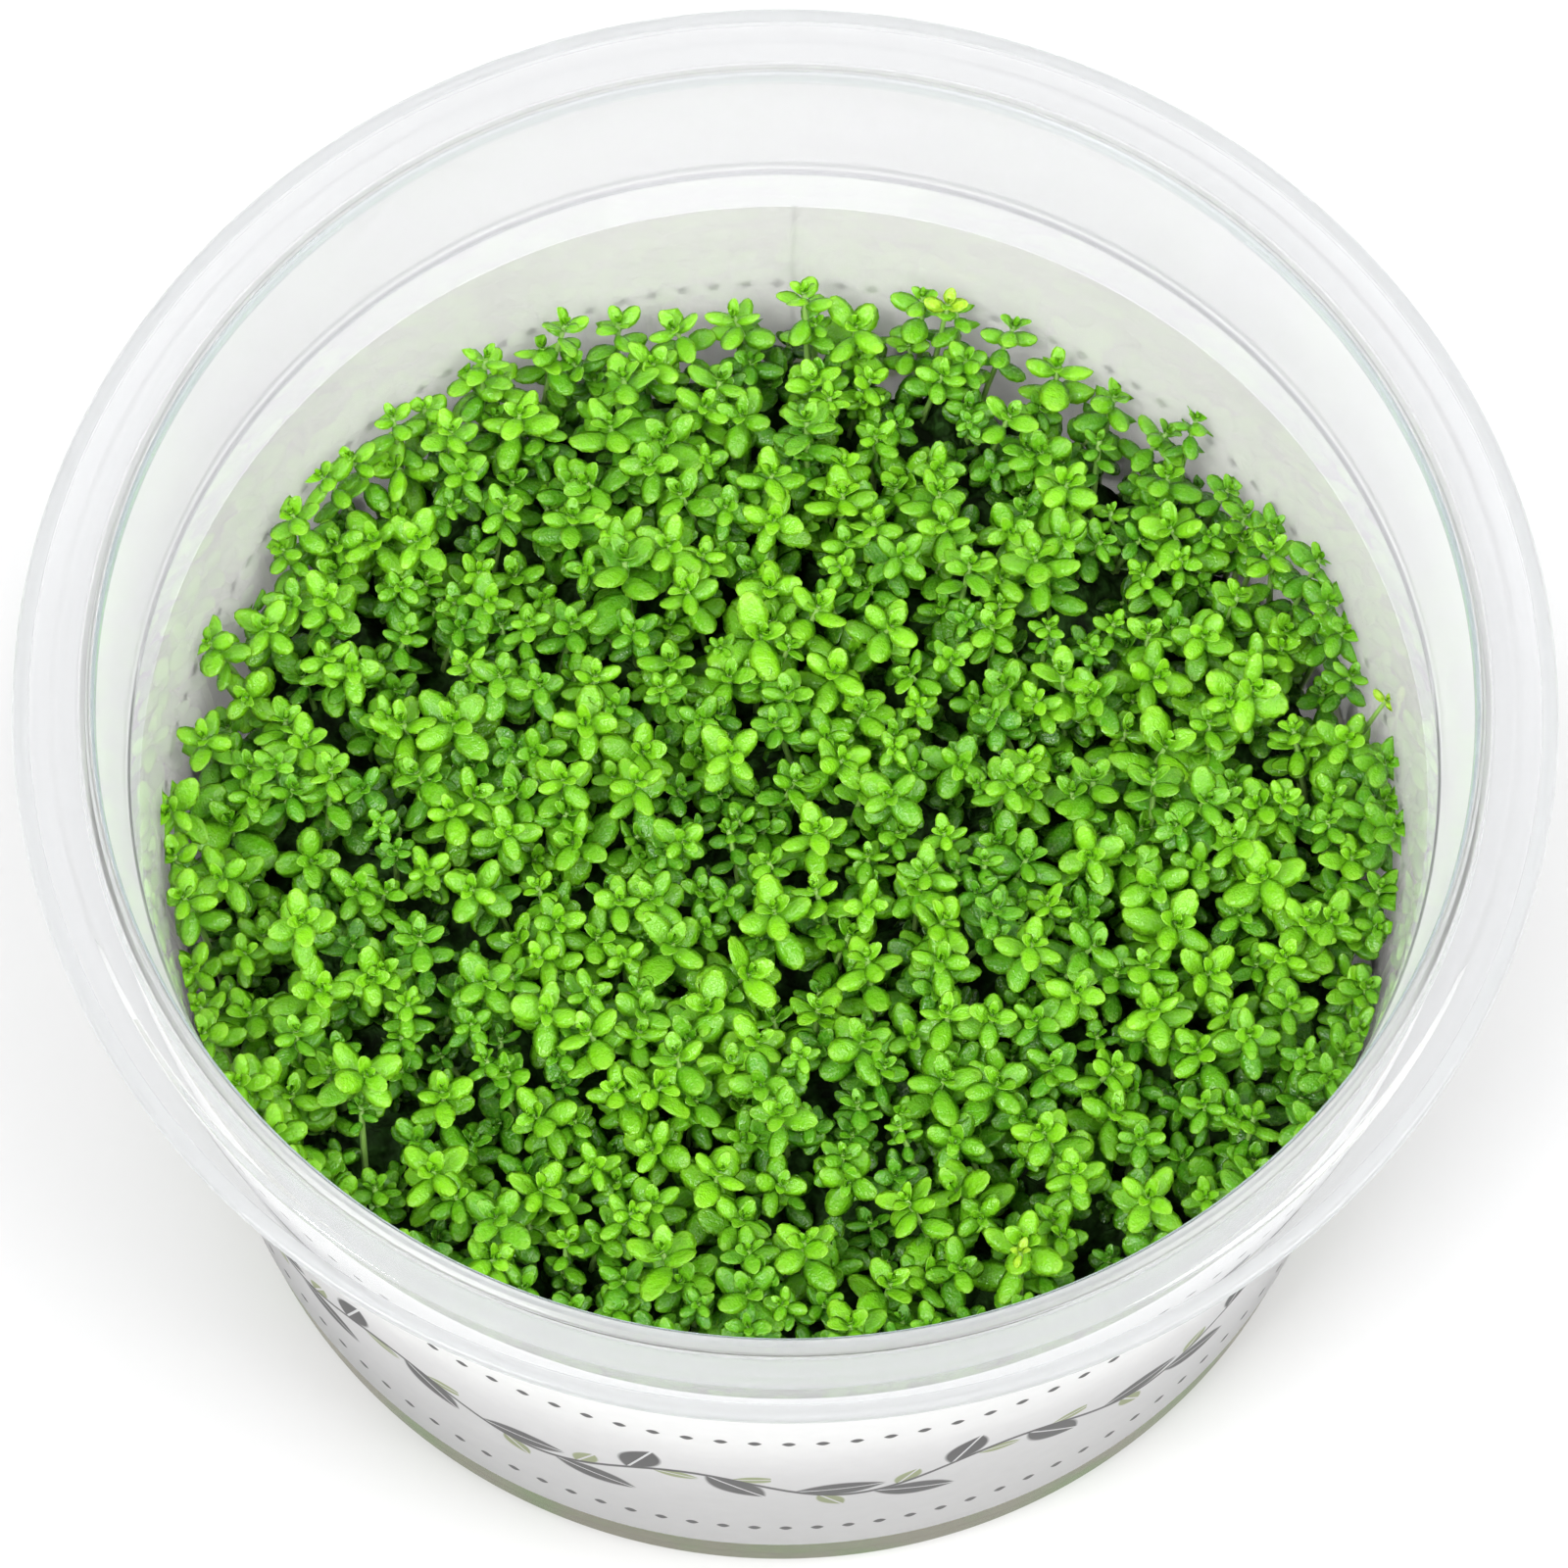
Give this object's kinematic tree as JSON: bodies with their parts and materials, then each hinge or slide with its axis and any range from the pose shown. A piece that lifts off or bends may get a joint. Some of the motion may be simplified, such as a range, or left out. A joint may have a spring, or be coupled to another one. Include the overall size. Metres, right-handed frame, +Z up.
{
  "type": "dwarf baby tears in a clear culture cup",
  "caption": "Low cushion of small-leaved aquarium plants growing on gel in a clear round tapered cup with a wide flange and a paper sleeve.",
  "frame": {"origin": "centre of the cup's base, on the surface that it stands on", "axes": "+Z up along the cup's axis, -Y towards the side that the picture looks from"},
  "size_m": [0.095, 0.095, 0.0579],
  "materials": {
    "clear_plastic": "clear, glossy",
    "label_paper": "smooth white label film, satin",
    "nutrient_gel": "set gel, cloudy and wet",
    "plant_leaves": "small fleshy leaves, softly glossy"
  },
  "bodies": {
    "root": {"cup": "clear_plastic", "label": "label_paper", "nutrient_gel": "nutrient_gel", "plant_cushion": "plant_leaves"}
  },
  "joints": []
}
